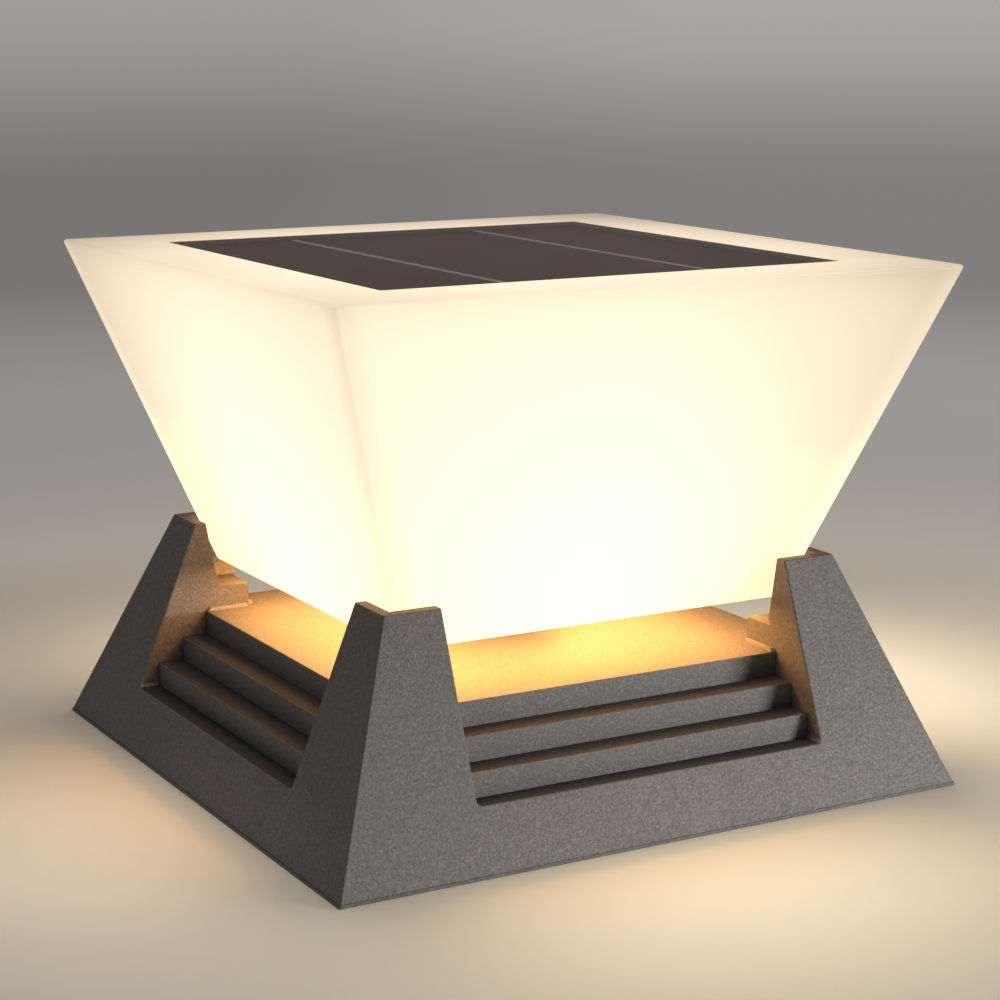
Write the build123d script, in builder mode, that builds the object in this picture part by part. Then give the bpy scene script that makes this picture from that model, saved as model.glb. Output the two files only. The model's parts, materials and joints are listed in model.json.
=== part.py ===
from build123d import *
from math import hypot
import os

# Solar post light: a cast foot with four corner posts and a stepped deck carries a lit,
# upside-down pyramid shade with a solar panel let into its top.
# Millimetres, +Z up, origin at the centre of the underside, front towards -Y.

# Foot and posts
base_half = 150.0
lip_h = 1.5
lip_out = 0.4
cast_edge_r = 0.8
post_top_z = 101.0
post_top_wall = 5.3
post_solid_h = 15.0
frame_wall = 4.0
shelf_w = 15.0
shelf_t = 9.6
shelf_gap = 1.2
shelf_groove_h = 1.6
shelf_groove_d = 2.0
notch_floor_z = 26.6
notch_corner_r = 2.0
ledge_t = 3.0

# Stepped deck
step_count = 3
step_run = 12.0
step_rise = 10.867
step_toe = 9.9
step_edge_r = 0.6
cover_wall = 3.0
cover_clear = 0.4
flange_clear = 0.6
ear_w = 11.0
ear_clear = 0.6
bead_w = 2.0
bead_h = 1.4
bead_slope = 1.2

# Shade
shade_low_half = 94.8
shade_top_half = 147.2
shade_h = 148.6
shade_gap = 21.6
shade_wall = 5.0
shade_edge_r = 1.2
shade_floor_t = 4.0
shade_ledge_w = 7.0
shade_ledge_t = 5.0
well_low_gap = 4.2
well_top_gap = 2.8

# Top cover and solar panel
top_cover_t = 4.0
top_cover_clear = 0.4
top_seal_t = 0.8
well_wall = 3.0
panel_half = 109.0
panel_seal_w = 0.8
panel_seal_drop = 0.2
panel_margin = 1.0
strip_line_share = 0.45
strip_shift = 2.5
strip_gap = 4.4
ribbon_w = 4.0
tape_t = 0.4
backsheet_t = 1.2
cell_t = 0.4
film_gap = 0.1
glass_t = 1.9
junction_size = (50.0, 40.0, 14.0)
junction_clear = 1.0

# Pedestal under the shade
neck_r = 20.0
flange_margin = 5.5
flange_t = 3.2
flange_cone_h = 5.0
flange_cone_r = 26.0
spigot_r = 10.0
spigot_l = 15.4
wire_bore_r = 7.0
gasket_t = 1.2
washer_r = 17.0
washer_t = 1.6
pedestal_nut_r = 16.0
pedestal_nut_t = 6.0

# Lamp in the shade's floor
led_plate_half = 50.0
led_plate_t = 3.0
led_board_half = 46.0
led_pitch = 20.0
led_rows = 4
led_size = 2.8
led_h = 0.8
led_hole_r = 9.0
led_socket_x = 22.0
led_socket_size = (8.0, 8.0, 6.0)

# Boards
board_t = 1.6
board_size = (70.0, 50.0)
board_at = (-60.0, -50.0)
standoff_h = 6.0
standoff_r = 3.5
standoff_inset = 4.0
socket_w = 10.0
socket_d = 8.0
socket_h = 8.0
socket_pitch = 12.5
battery_socket_inset = 14.0

# Underside: tray, mounting plate
plate_t = 3.0
plate_tab_w = 24.0
plate_tab_h = 12.0
plate_tab_off = 60.0
plate_pad_r = 6.5
plate_pad_depth = 4.0
plate_screw_z = 9.0
plate_screw_seat = 3.6
plate_window_r = 82.0
plate_bolt_half = 90.0
plate_bolt_r = 4.5
tray_z = 16.0
tray_t = 3.0
tray_gasket_w = 2.5
tray_boss_r = 5.0
tray_boss_inset = 3.0

# Battery
cell_count = 4
battery_r = 9.2
battery_l = 65.0
battery_gap = 0.4
contact_t = 1.0
holder_wall = 2.0
holder_floor = 2.0
holder_side_h = 16.0
holder_x_off = -12.0
holder_back_gap = 38.0
battery_lid_t = 2.0

# Push switch
switch_x = 30.0
switch_r = 6.0
switch_l = 17.0
switch_flange_r = 9.0
switch_flange_t = 2.0
switch_seal_t = 0.8
switch_seal_r = 8.5
switch_nut_r = 9.5
switch_nut_t = 3.0
button_r = 4.3
button_drop = 4.0
button_collar_r = 5.2
button_collar_t = 2.0
button_travel = 1.5
button_clear = 0.3
button_edge = 0.8
spring_room = 3.0

# Screws: head radius, head height and shank radius
small_screw = (2.6, 1.8, 1.25)
cover_screw = (2.9, 2.0, 1.5)
tray_screw = (3.8, 2.4, 1.75)
led_screw = (3.8, 2.4, 2.0)
plate_screw = (4.2, 2.4, 2.0)
thread_clear = 0.05
shank_clear = 0.3
head_clear = 0.4
cover_screw_inset = 6.0
cover_screw_l = 10.0
tray_screw_l = 14.0
led_screw_l = 11.0
plate_screw_l = 9.0
board_screw_l = 6.0
hole_spare = 1.5
spacer_r = 4.0
head_round_share = 0.33

# Leads
lead_offset = 3.0
panel_lead_r = 2.0
led_lead_r = 1.5
switch_lead_r = 1.5
battery_lead_r = 2.0
lead_bend_r = 11.0
led_lead_bend_r = 9.0
led_lead_rise = 12.0
switch_lead_bend_r = 8.0
switch_lead_end_r = 4.0
switch_lead_rise = 10.0

# Counts, turns and tolerances
side_count = 4
screwed_sides = 2
hex_sides = 6
standoff_rows = 2
quarter_turn = 90.0
head_down = (180.0, 0.0, 0.0)
on_face = 0.01
edge_shares = (0.1, 0.5, 0.9)

# Levels
deck_z = notch_floor_z + step_count * step_rise
shelf_low_z = deck_z + shelf_gap
shelf_top_z = shelf_low_z + shelf_t
shade_z = deck_z + shade_gap
shade_top_z = shade_z + shade_h
ledge_top_z = shade_top_z - top_cover_t - top_seal_t
top_cover_z = shade_top_z - top_cover_t
tray_top_z = tray_z + tray_t
led_plate_z = shade_z + shade_floor_t
led_board_z = led_plate_z + led_plate_t
led_top_z = led_board_z + board_t

# Slopes and the widths that follow from them
shade_slope = (shade_top_half - shade_low_half) / shade_h
shade_side = shade_wall * hypot(1, shade_slope)
well_low_half = shade_low_half + well_low_gap
well_top_half = shade_low_half + shade_slope * (post_top_z - shade_z) + well_top_gap
well_slope = (well_top_half - well_low_half) / (post_top_z - shelf_top_z)
post_top_half = well_top_half + post_top_wall
foot_half = base_half - lip_out
post_slope = (foot_half - post_top_half) / (post_top_z - lip_h)
post_side = frame_wall * hypot(1, post_slope)


def face_half(z):
    """Half the width across the foot's sloped outer faces at a height."""
    return foot_half - post_slope * (z - lip_h)


def skirt_half(z):
    """Half the width between the foot's sloped inner faces at a height."""
    return face_half(z) - post_side


def shade_half(z):
    """Half the width across the shade's outer faces at a height."""
    return shade_low_half + shade_slope * (z - shade_z)


def shade_inner_half(z):
    """Half the width between the shade's inner faces at a height."""
    return shade_half(z) - shade_side


def well_half(z):
    """Half the width between the posts' inner faces at a height."""
    return well_low_half + well_slope * (z - shelf_top_z)


notch_half = well_low_half - shelf_w
arm_half = notch_half - cover_clear
ear_half = notch_half + ear_w
deck_half = face_half(notch_floor_z) - step_toe - step_run * (step_count - 1)
step_half = [deck_half + step_run * i for i in range(step_count)]
step_z = [deck_z - step_rise * i for i in range(step_count)]
ledge_z = notch_floor_z - ledge_t
cover_flange_half = skirt_half(ledge_z) - flange_clear
cover_screw_at = notch_half + cover_screw_inset
tray_half = skirt_half(tray_top_z) - tray_gasket_w
tray_screw_at = well_low_half + tray_boss_inset
plate_half = skirt_half(plate_screw_z) - plate_pad_depth
plate_seat = face_half(plate_screw_z) - plate_screw_seat
panel_t = tape_t + backsheet_t + cell_t + film_gap + glass_t
panel_floor_z = shade_top_z - panel_t
backsheet_z = panel_floor_z + tape_t
cell_z = backsheet_z + backsheet_t
glass_z = cell_z + cell_t + film_gap
recess_half = panel_half + panel_seal_w
cell_half = panel_half - panel_margin
strip_line = panel_half * strip_line_share
strip_lines = [(strip_shift - strip_line, 0), (strip_shift + strip_line, 0)]
junction_z = backsheet_z - junction_size[2]
flange_r = hypot(led_pitch, led_pitch) + flange_margin
pedestal_z = deck_z + gasket_t
pedestal_top_z = shade_z - gasket_t
deck_low_z = deck_z - cover_wall
board_z = tray_top_z + standoff_h
board_top_z = board_z + board_t
socket_mid_z = board_top_z + socket_h / 2
board_right = board_at[0] + board_size[0] / 2
board_back = board_at[1] + board_size[1] / 2
panel_socket_y = board_at[1] + socket_pitch
led_socket_y = board_at[1]
switch_socket_y = board_at[1] - socket_pitch
battery_socket_x = board_right - battery_socket_inset
switch_at = (switch_x, switch_socket_y)
cell_pitch = 2 * battery_r + battery_gap
holder_x = battery_l / 2 + contact_t + holder_wall
holder_y = cell_count * cell_pitch / 2 + holder_wall
holder_at = (holder_x_off, tray_half - holder_back_gap - holder_y)
battery_z = tray_top_z + holder_floor + battery_r
battery_lid_z = battery_z + battery_r + battery_gap
switch_seal_z = tray_z - switch_seal_t
switch_low_z = switch_seal_z - switch_flange_t
switch_top_z = tray_top_z + switch_l
switch_step_z = switch_seal_z + button_collar_t
switch_bore_z = switch_step_z + button_collar_t + button_travel + spring_room

corners = [(x, y) for x in (-1, 1) for y in (-1, 1)]


def at_corners(distance):
    """The four corner points of a square about the centre."""
    return [(x * distance, y * distance) for x, y in corners]


def frustum(z_low, half_low, z_high, half_high):
    """A square block with flat sloped sides between two levels."""
    width = max(half_low, half_high)
    with BuildPart() as block:
        for plane, mode in ((Plane.XZ, Mode.ADD), (Plane.YZ, Mode.INTERSECT)):
            with BuildSketch(plane):
                with BuildLine():
                    Polyline(
                        (-half_low, z_low),
                        (half_low, z_low),
                        (half_high, z_high),
                        (-half_high, z_high),
                        close=True,
                    )
                make_face()
            extrude(amount=width, both=True, mode=mode)
    return block.part


def slab(z_low, z_high, half_x, half_y):
    """An upright block about the centre line between two levels."""
    with BuildPart() as block:
        with BuildSketch(Plane.XY.offset(z_low)):
            Rectangle(2 * half_x, 2 * half_y)
        extrude(amount=z_high - z_low)
    return block.part


def ring(z_low, z_high, outer_r, inner_r):
    """A round ring about the centre line between two levels."""
    with BuildPart() as band:
        with BuildSketch(Plane.XY.offset(z_low)):
            Circle(outer_r)
            Circle(inner_r, mode=Mode.SUBTRACT)
        extrude(amount=z_high - z_low)
    return band.part


def screw(kind, length):
    """A pan-head screw that points down, with the head's underside at the origin."""
    head_r, head_h, shank_r = kind
    with BuildPart() as body:
        with BuildSketch():
            Circle(head_r)
        extrude(amount=head_h)
        fillet(body.edges().group_by(Axis.Z)[-1], radius=head_h * head_round_share)
        with BuildSketch():
            Circle(shank_r)
        extrude(amount=-length)
    return body.part


def lead(points, lead_r, bend_r):
    """A round lead along straight runs with rounded corners."""
    with BuildPart() as run:
        with BuildLine() as route:
            if len(points) > 2:
                FilletPolyline(*points, radius=bend_r)
            else:
                Line(*points)
        with BuildSketch(Plane(origin=route.line @ 0, z_dir=route.line % 0)):
            Circle(lead_r)
        sweep()
    return run.part


def side_plane(distance, turn):
    """An upright plane at the plate screws' height that faces out of the back, or out of a turned side."""
    return Plane(
        origin=Vector(0, distance, plate_screw_z).rotate(Axis.Z, turn),
        x_dir=Vector(-1, 0, 0).rotate(Axis.Z, turn),
        z_dir=Vector(0, 1, 0).rotate(Axis.Z, turn),
    )


def on_notch_rim(edge):
    """Whether an edge lies where a notch cuts the foot's sloped outer faces."""
    for share in edge_shares:
        point = edge.position_at(share)
        reach = max(abs(point.X), abs(point.Y))
        across = min(abs(point.X), abs(point.Y))
        if abs(reach - face_half(point.Z)) > on_face or across > notch_half + on_face:
            return False
        if point.Z < notch_floor_z - on_face:
            return False
    return True


def finish(piece, name):
    """Name a finished piece and write its file."""
    piece.part.label = name
    export_step(piece.part, f"parts/{name}.step")


os.makedirs("parts", exist_ok=True)

# Upright planes where the plate screws seat on the two back faces, and at the plate's four edges
seat_planes = [side_plane(plate_seat, -quarter_turn * side) for side in range(screwed_sides)]
edge_planes = [side_plane(plate_half, -quarter_turn * side) for side in range(side_count)]

# The hollow under the foot: the skirt and the four posts, less the pads and bosses left in it
with BuildPart() as foot_hollow:
    add(frustum(0, skirt_half(0), ledge_z, skirt_half(ledge_z)))
    post_hollow_z = post_top_z - post_solid_h
    hollow_post = frustum(0, skirt_half(0), post_hollow_z, skirt_half(post_hollow_z))
    hollow_post -= slab(0, post_top_z, notch_half + frame_wall, base_half)
    hollow_post -= slab(0, post_top_z, base_half, notch_half + frame_wall)
    hollow_post -= frustum(
        shelf_low_z,
        well_half(shelf_low_z) + frame_wall,
        post_top_z,
        well_top_half + frame_wall,
    )
    add(hollow_post)
    add(slab(0, shelf_low_z, ear_half + ear_clear, ear_half + ear_clear))
    with BuildSketch(Plane.XY.offset(deck_z)):
        with Locations(*at_corners(cover_screw_at)):
            Circle(spacer_r)
    extrude(amount=shelf_gap, mode=Mode.SUBTRACT)
    with BuildSketch(Plane.XY.offset(tray_top_z)):
        with Locations(*at_corners(tray_screw_at)):
            Circle(tray_boss_r)
    extrude(amount=shelf_top_z - tray_top_z, mode=Mode.SUBTRACT)
    for plane in edge_planes:
        with BuildSketch(plane):
            with Locations((-plate_tab_off, 0), (plate_tab_off, 0)):
                Circle(plate_pad_r)
        extrude(amount=base_half - plate_half, mode=Mode.SUBTRACT)

with BuildPart() as base_frame:
    add(frustum(lip_h, foot_half, post_top_z, post_top_half))
    fillet(edges().filter_by(Plane.XY, reverse=True), radius=cast_edge_r)
    with BuildSketch():
        RectangleRounded(2 * base_half, 2 * base_half, cast_edge_r)
    extrude(amount=lip_h)
    add(frustum(shelf_top_z, well_low_half, post_top_z, well_top_half), mode=Mode.SUBTRACT)
    groove_half = well_low_half + shelf_groove_d
    add(slab(shelf_top_z, shelf_top_z + shelf_groove_h, groove_half, groove_half), mode=Mode.SUBTRACT)
    for plane in (Plane.XZ, Plane.YZ):
        with BuildSketch(plane):
            with Locations((0, notch_floor_z)):
                Rectangle(2 * notch_half, 2 * post_top_z, align=(Align.CENTER, Align.MIN))
            notch_corners = faces().edges().filter_by(Axis.X).sort_by(Axis.Y)[0].vertices()
            fillet(notch_corners, radius=notch_corner_r)
        extrude(amount=base_half, both=True, mode=Mode.SUBTRACT)
    post_tops = faces().filter_by(Axis.Z).group_by(Axis.Z)[-1]
    fillet(post_tops.edges() + edges().filter_by(on_notch_rim), radius=cast_edge_r)
    deck_opening = step_half[-1] + cover_clear
    opening_top_z = notch_floor_z + 2 * notch_corner_r
    add(slab(0, opening_top_z, notch_half, deck_opening), mode=Mode.SUBTRACT)
    add(slab(0, opening_top_z, deck_opening, notch_half), mode=Mode.SUBTRACT)
    add(foot_hollow.part, mode=Mode.SUBTRACT)
    with BuildSketch(Plane.XY.offset(deck_z)):
        with Locations(*at_corners(cover_screw_at)):
            Circle(cover_screw[2] + thread_clear)
    extrude(amount=cover_screw_l - cover_wall + hole_spare, mode=Mode.SUBTRACT)
    with BuildSketch(Plane.XY.offset(tray_top_z)):
        with Locations(*at_corners(tray_screw_at)):
            Circle(tray_screw[2] + thread_clear)
    extrude(amount=tray_screw_l - tray_t + hole_spare, mode=Mode.SUBTRACT)
    for plane in seat_planes:
        with BuildSketch(plane):
            with Locations((-plate_tab_off, 0), (plate_tab_off, 0)):
                Circle(plate_screw[0] + head_clear)
        extrude(amount=base_half - plate_seat, mode=Mode.SUBTRACT)
        with BuildSketch(plane):
            with Locations((-plate_tab_off, 0), (plate_tab_off, 0)):
                Circle(plate_screw[2] + shank_clear)
        extrude(amount=plate_half - plate_seat, mode=Mode.SUBTRACT)
finish(base_frame, "base_frame")

with BuildPart() as stepped_cover:
    for half, top_z in zip(step_half, step_z):
        add(slab(ledge_z, top_z, arm_half, half))
        add(slab(ledge_z, top_z, half, arm_half))
    for half, top_z in zip(step_half, step_z):
        nosing = edges().filter_by_position(Axis.Z, top_z - on_face, top_z + on_face)
        fillet(
            nosing.filter_by_position(Axis.X, half - on_face, half + on_face)
            + nosing.filter_by_position(Axis.X, -half - on_face, on_face - half)
            + nosing.filter_by_position(Axis.Y, half - on_face, half + on_face)
            + nosing.filter_by_position(Axis.Y, -half - on_face, on_face - half),
            radius=step_edge_r,
        )
    for half, top_z in zip(step_half, step_z):
        hollow_half = half - cover_wall
        hollow_arm = arm_half - cover_wall
        add(slab(ledge_z, top_z - cover_wall, hollow_arm, hollow_half), mode=Mode.SUBTRACT)
        add(slab(ledge_z, top_z - cover_wall, hollow_half, hollow_arm), mode=Mode.SUBTRACT)
    add(slab(deck_low_z, deck_z, ear_half, ear_half))
    bead_end = deck_half - step_edge_r
    bead_top_z = deck_z + bead_h
    for turn in (0, quarter_turn):
        with BuildSketch(Plane.XY.offset(deck_z)):
            Rectangle(2 * arm_half, 2 * bead_end, rotation=turn)
            Rectangle(2 * (arm_half - bead_w), 2 * deck_half, rotation=turn, mode=Mode.SUBTRACT)
            Rectangle(2 * (arm_half + bead_w), 2 * (arm_half + bead_w), mode=Mode.SUBTRACT)
        extrude(amount=bead_h)
    bead_tops = edges().filter_by_position(Axis.Z, bead_top_z - on_face, bead_top_z + on_face)
    chamfer(
        bead_tops.filter_by_position(Axis.X, bead_end - on_face, bead_end + on_face)
        + bead_tops.filter_by_position(Axis.X, -bead_end - on_face, on_face - bead_end)
        + bead_tops.filter_by_position(Axis.Y, bead_end - on_face, bead_end + on_face)
        + bead_tops.filter_by_position(Axis.Y, -bead_end - on_face, on_face - bead_end),
        length=bead_slope,
    )
    cover_low_z = ledge_z - cover_wall
    add(slab(cover_low_z, ledge_z, cover_flange_half, arm_half))
    add(slab(cover_low_z, ledge_z, arm_half, cover_flange_half))
    rim_hollow = step_half[-1] - cover_wall
    add(slab(cover_low_z, ledge_z, rim_hollow, arm_half - cover_wall), mode=Mode.SUBTRACT)
    add(slab(cover_low_z, ledge_z, arm_half - cover_wall, rim_hollow), mode=Mode.SUBTRACT)
    with BuildSketch(Plane.XY.offset(deck_z)):
        Circle(spigot_r + shank_clear)
        with Locations(*at_corners(cover_screw_at)):
            Circle(cover_screw[2] + shank_clear)
    extrude(amount=-cover_wall, mode=Mode.SUBTRACT)
finish(stepped_cover, "stepped_cover")

with BuildPart() as cover_screws:
    with Locations(*[Location((x, y, deck_low_z), head_down) for x, y in at_corners(cover_screw_at)]):
        add(screw(cover_screw, cover_screw_l))
finish(cover_screws, "cover_screws")

# Underside
with BuildPart() as bottom_tray:
    add(slab(tray_z, tray_top_z, tray_half, tray_half))
    standoffs = GridLocations(
        board_size[0] - 2 * standoff_inset,
        board_size[1] - 2 * standoff_inset,
        standoff_rows,
        standoff_rows,
    )
    with BuildSketch(Plane.XY.offset(tray_top_z)):
        with Locations(board_at):
            with Locations(*standoffs.locations):
                Circle(standoff_r)
    extrude(amount=standoff_h)
    with BuildSketch(Plane.XY.offset(board_z)):
        with Locations(board_at):
            with Locations(*standoffs.locations):
                Circle(small_screw[2] + thread_clear)
    extrude(amount=-board_screw_l, mode=Mode.SUBTRACT)
    with BuildSketch(Plane.XY.offset(tray_z)):
        with Locations(*at_corners(tray_screw_at)):
            Circle(tray_screw[2] + shank_clear)
        with Locations(switch_at):
            Circle(switch_r + thread_clear)
    extrude(amount=tray_t, mode=Mode.SUBTRACT)
finish(bottom_tray, "bottom_tray")

with BuildPart() as tray_gasket:
    add(frustum(tray_z, skirt_half(tray_z), tray_top_z, skirt_half(tray_top_z)))
    add(slab(tray_z, tray_top_z, tray_half, tray_half), mode=Mode.SUBTRACT)
finish(tray_gasket, "tray_gasket")

with BuildPart() as tray_screws:
    with Locations(*[Location((x, y, tray_z), head_down) for x, y in at_corners(tray_screw_at)]):
        add(screw(tray_screw, tray_screw_l))
finish(tray_screws, "tray_screws")

with BuildPart() as mounting_plate:
    add(slab(0, plate_t, plate_half, plate_half))
    with BuildSketch():
        Circle(plate_window_r)
        with Locations(*at_corners(plate_bolt_half)):
            Circle(plate_bolt_r)
    extrude(amount=plate_t, mode=Mode.SUBTRACT)
finish(mounting_plate, "mounting_plate")

with BuildPart() as plate_tabs:
    tab_foot_y = plate_t - plate_screw_z
    for plane in edge_planes:
        with BuildSketch(plane):
            with Locations((-plate_tab_off, tab_foot_y), (plate_tab_off, tab_foot_y)):
                Rectangle(plate_tab_w, plate_tab_h, align=(Align.CENTER, Align.MIN))
        extrude(amount=-plate_t)
    for plane in seat_planes:
        with BuildSketch(plane):
            with Locations((-plate_tab_off, 0), (plate_tab_off, 0)):
                Circle(plate_screw[2] + thread_clear)
        extrude(amount=plate_half - plate_seat - plate_t, mode=Mode.SUBTRACT)
finish(plate_tabs, "plate_tabs")

with BuildPart() as plate_screws:
    for plane in seat_planes:
        for x in (-plate_tab_off, plate_tab_off):
            with Locations(plane.location * Location((x, 0, 0))):
                add(screw(plate_screw, plate_screw_l))
finish(plate_screws, "plate_screws")

# Battery
with BuildPart() as battery_holder:
    with BuildSketch(Plane.XY.offset(tray_top_z)):
        with Locations(holder_at):
            Rectangle(2 * holder_x, 2 * holder_y)
    extrude(amount=holder_floor + holder_side_h)
    with BuildSketch(Plane.XY.offset(tray_top_z + holder_floor)):
        with Locations(holder_at):
            Rectangle(2 * (holder_x - holder_wall), 2 * (holder_y - holder_wall))
    extrude(amount=holder_side_h, mode=Mode.SUBTRACT)
    with BuildSketch(Plane.XY.offset(tray_top_z + holder_floor + holder_side_h)):
        with Locations(holder_at):
            with Locations((-holder_x, 0), (holder_x, 0)):
                Rectangle(2 * holder_wall, 2 * holder_y)
            Rectangle(2 * holder_x, 2 * holder_y, mode=Mode.INTERSECT)
    extrude(amount=battery_lid_z - tray_top_z - holder_floor - holder_side_h)
finish(battery_holder, "battery_holder")

cell_rows = [holder_at[1] + cell_pitch * (i - (cell_count - 1) / 2) for i in range(cell_count)]

with BuildPart() as battery_cells:
    with BuildSketch(Plane.YZ.offset(holder_at[0] - battery_l / 2)):
        with Locations(*[(y, battery_z + battery_gap / 2) for y in cell_rows]):
            Circle(battery_r)
    extrude(amount=battery_l)
finish(battery_cells, "battery_cells")

with BuildPart() as battery_contacts:
    for x in (-battery_l / 2 - contact_t, battery_l / 2):
        with BuildSketch(Plane.YZ.offset(holder_at[0] + x)):
            with Locations(*[(y, battery_z + battery_gap / 2) for y in cell_rows]):
                Rectangle(battery_r, battery_r)
        extrude(amount=contact_t)
finish(battery_contacts, "battery_contacts")

with BuildPart() as battery_lid:
    with BuildSketch(Plane.XY.offset(battery_lid_z)):
        with Locations(holder_at):
            Rectangle(2 * holder_x, 2 * holder_y)
    extrude(amount=battery_lid_t)
finish(battery_lid, "battery_lid")

# Charge controller
with BuildPart() as controller_board:
    with BuildSketch(Plane.XY.offset(board_z)):
        with Locations(board_at):
            Rectangle(*board_size)
            with Locations(*standoffs.locations):
                Circle(small_screw[2] + shank_clear, mode=Mode.SUBTRACT)
    extrude(amount=board_t)
finish(controller_board, "controller_board")

with BuildPart() as board_screws:
    with Locations(Location((*board_at, board_top_z))):
        with Locations(*standoffs.locations):
            add(screw(small_screw, board_screw_l))
finish(board_screws, "board_screws")

# Coil, two capacitors, a chip and two transistors: x, y on the board, half width, height
coil = (-16.0, 8.0, 6.0, 8.0)
capacitors = [(-16.0, -10.0, 4.0, 12.0), (-4.0, -12.0, 4.0, 12.0)]
chips = [(0.0, 6.0, 3.0, 1.6), (10.0, -16.0, 2.5, 2.2), (-26.0, -2.0, 2.5, 2.2)]

with BuildPart() as board_parts:
    for x, y, half, height in [coil, *capacitors]:
        with BuildSketch(Plane.XY.offset(board_top_z)):
            with Locations((board_at[0] + x, board_at[1] + y)):
                Circle(half)
        extrude(amount=height)
    for x, y, half, height in chips:
        with BuildSketch(Plane.XY.offset(board_top_z)):
            with Locations((board_at[0] + x, board_at[1] + y)):
                Rectangle(2 * half, 2 * half)
        extrude(amount=height)
finish(board_parts, "board_parts")

with BuildPart() as cable_sockets:
    with BuildSketch(Plane.XY.offset(board_top_z)):
        side_sockets = (panel_socket_y, led_socket_y, switch_socket_y)
        with Locations(*[(board_right - socket_d / 2, y) for y in side_sockets]):
            Rectangle(socket_d, socket_w)
        with Locations((battery_socket_x, board_back - socket_d / 2)):
            Rectangle(socket_w, socket_d)
    extrude(amount=socket_h)
finish(cable_sockets, "cable_sockets")

# Push switch
with BuildPart() as switch_body:
    with Locations(switch_at):
        add(ring(switch_low_z, switch_seal_z, switch_flange_r, button_r + button_clear))
        add(ring(switch_seal_z, switch_step_z, switch_r, button_r + button_clear))
        add(ring(switch_step_z, switch_bore_z, switch_r, button_collar_r + button_clear))
    with BuildSketch(Plane.XY.offset(switch_bore_z)):
        with Locations(switch_at):
            Circle(switch_r)
    extrude(amount=switch_top_z - switch_bore_z)
finish(switch_body, "switch_body")

with BuildPart() as switch_seal:
    with Locations(switch_at):
        add(ring(switch_seal_z, tray_z, switch_seal_r, switch_r + thread_clear))
finish(switch_seal, "switch_seal")

with BuildPart() as switch_nut:
    with BuildSketch(Plane.XY.offset(tray_top_z)):
        with Locations(switch_at):
            RegularPolygon(switch_nut_r, hex_sides)
            Circle(switch_r + thread_clear, mode=Mode.SUBTRACT)
    extrude(amount=switch_nut_t)
finish(switch_nut, "switch_nut")

with BuildPart() as power_button:
    button_low_z = switch_low_z - button_drop
    with BuildSketch(Plane.XY.offset(button_low_z)):
        with Locations(switch_at):
            Circle(button_r)
    extrude(amount=switch_step_z - button_low_z)
    fillet(power_button.edges().group_by(Axis.Z)[0], radius=button_edge)
    with BuildSketch(Plane.XY.offset(switch_step_z)):
        with Locations(switch_at):
            Circle(button_collar_r)
    extrude(amount=button_collar_t)
finish(power_button, "power_button")

# Pedestal
with BuildPart() as pedestal:
    flange_low_z = pedestal_top_z - flange_t
    with BuildSketch(Plane.XZ):
        with BuildLine():
            Polyline(
                (wire_bore_r, pedestal_z - spigot_l),
                (spigot_r, pedestal_z - spigot_l),
                (spigot_r, pedestal_z),
                (neck_r, pedestal_z),
                (neck_r, flange_low_z - flange_cone_h),
                (flange_cone_r, flange_low_z),
                (flange_r, flange_low_z),
                (flange_r, pedestal_top_z),
                (wire_bore_r, pedestal_top_z),
                close=True,
            )
        make_face()
    revolve(axis=Axis.Z)
    with BuildSketch(Plane.XY.offset(pedestal_top_z)):
        with Locations(*at_corners(led_pitch)):
            Circle(led_screw[2] + thread_clear)
    extrude(amount=-flange_t, mode=Mode.SUBTRACT)
finish(pedestal, "pedestal")

with BuildPart() as pedestal_gasket:
    add(ring(deck_z, pedestal_z, neck_r, spigot_r + thread_clear))
finish(pedestal_gasket, "pedestal_gasket")

washer_z = deck_low_z - washer_t

with BuildPart() as pedestal_washer:
    add(ring(washer_z, deck_low_z, washer_r, spigot_r + thread_clear))
finish(pedestal_washer, "pedestal_washer")

with BuildPart() as pedestal_nut:
    with BuildSketch(Plane.XY.offset(washer_z)):
        RegularPolygon(pedestal_nut_r, hex_sides)
        Circle(spigot_r + thread_clear, mode=Mode.SUBTRACT)
    extrude(amount=-pedestal_nut_t)
finish(pedestal_nut, "pedestal_nut")

with BuildPart() as head_gasket:
    with BuildSketch(Plane.XY.offset(pedestal_top_z)):
        Circle(flange_r)
        Circle(wire_bore_r, mode=Mode.SUBTRACT)
        with Locations(*at_corners(led_pitch)):
            Circle(led_screw[2] + shank_clear, mode=Mode.SUBTRACT)
    extrude(amount=gasket_t)
finish(head_gasket, "head_gasket")

# Shade
with BuildPart() as shade:
    ledge_low_z = ledge_top_z - shade_ledge_t
    ledge_half = shade_inner_half(ledge_top_z) - shade_ledge_w
    add(frustum(shade_z, shade_low_half, shade_top_z, shade_top_half))
    fillet(edges(), radius=shade_edge_r)
    add(
        frustum(led_plate_z, shade_inner_half(led_plate_z), ledge_low_z, shade_inner_half(ledge_low_z)),
        mode=Mode.SUBTRACT,
    )
    add(slab(ledge_low_z, ledge_top_z, ledge_half, ledge_half), mode=Mode.SUBTRACT)
    add(
        frustum(ledge_top_z, shade_inner_half(ledge_top_z), shade_top_z, shade_inner_half(shade_top_z)),
        mode=Mode.SUBTRACT,
    )
    with BuildSketch(Plane.XY.offset(shade_z)):
        Circle(wire_bore_r)
        with Locations(*at_corners(led_pitch)):
            Circle(led_screw[2] + shank_clear)
    extrude(amount=shade_floor_t, mode=Mode.SUBTRACT)
finish(shade, "shade")

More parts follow.
